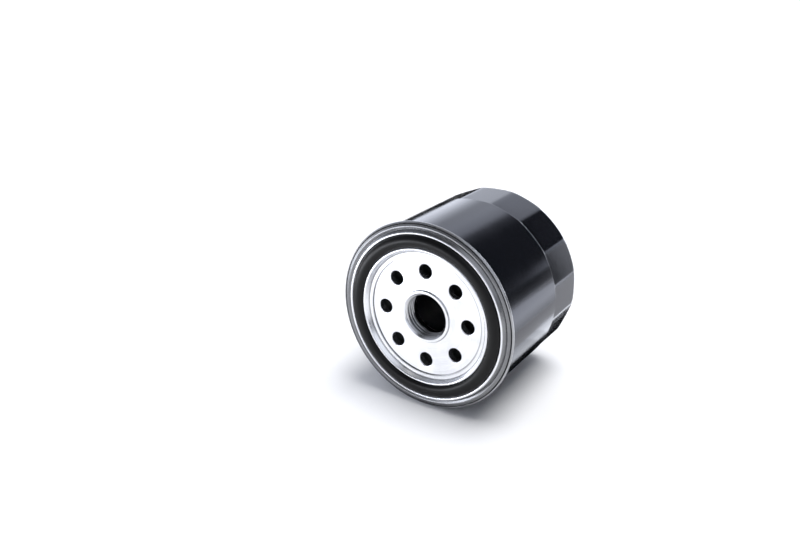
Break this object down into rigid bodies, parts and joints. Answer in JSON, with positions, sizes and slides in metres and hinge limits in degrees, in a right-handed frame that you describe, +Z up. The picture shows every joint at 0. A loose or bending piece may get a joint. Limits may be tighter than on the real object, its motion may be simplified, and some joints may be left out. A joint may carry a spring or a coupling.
{
  "type": "spin-on oil filter",
  "caption": "Squat black spin-on oil filter: steel can with wrench flats, rolled seam, rubber gasket, threaded base plate and a ring of oil inlet holes.",
  "frame": {"origin": "centre of the gasket's crown, the plane that meets the engine", "axes": "+Y along the filter's axis from the threaded face to the dome, +Z up with the filter lying on its side, one wrench flat facing straight down"},
  "size_m": [0.079, 0.0662, 0.079],
  "materials": {
    "can_paint": "gloss black enamel",
    "lid_steel": "grey zinc-coated sheet steel",
    "plate_steel": "bright tin-plated steel",
    "gasket_rubber": "satin black nitrile rubber",
    "valve_rubber": "matt black rubber",
    "tinplate": "tinplate",
    "adhesive": "cured adhesive",
    "filter_paper": "resin-treated filter paper",
    "inner_steel": "plain cold-rolled steel, oiled",
    "spring_steel": "drawn spring wire",
    "zinc_yellow": "yellow-passivated zinc",
    "compound": "seam lining compound"
  },
  "bodies": {
    "root": {"canister": "can_paint", "seaming_lid": "lid_steel", "seam_compound": "compound", "base_plate": "plate_steel", "sealing_gasket": "gasket_rubber", "drain_valve_collar": "valve_rubber", "element_spring": "spring_steel"},
    "drain_flap": {"drain_valve_flap": "valve_rubber"},
    "element": {"lower_end_cap": "tinplate", "lower_potting": "adhesive", "pleated_media": "filter_paper", "media_seam_clip": "tinplate", "centre_tube": "inner_steel", "upper_potting": "adhesive", "upper_end_cap": "tinplate", "bypass_seat": "inner_steel", "bypass_cage": "inner_steel", "bypass_spring": "spring_steel", "spring_seat": "inner_steel"},
    "bypass_valve": {"bypass_disc": "zinc_yellow", "bypass_seal": "valve_rubber"}
  },
  "joints": [
    {"name": "drain_flap_lift", "type": "slide", "parent": "root", "child": "drain_flap", "axis": [0, 1, 0], "range_m": [0, 0.0015], "stiffness_N_per_m": 120, "springref_m": -0.002},
    {"name": "element_float", "type": "slide", "parent": "root", "child": "element", "axis": [0, 1, 0], "range_m": [0, 0.0015], "stiffness_N_per_m": 8000, "springref_m": -0.006, "deforming": ["element_spring"]},
    {"name": "bypass_open", "type": "slide", "parent": "element", "child": "bypass_valve", "axis": [0, -1, 0], "range_m": [0, 0.003], "stiffness_N_per_m": 1500, "springref_m": -0.0075, "deforming": ["bypass_spring"]}
  ]
}
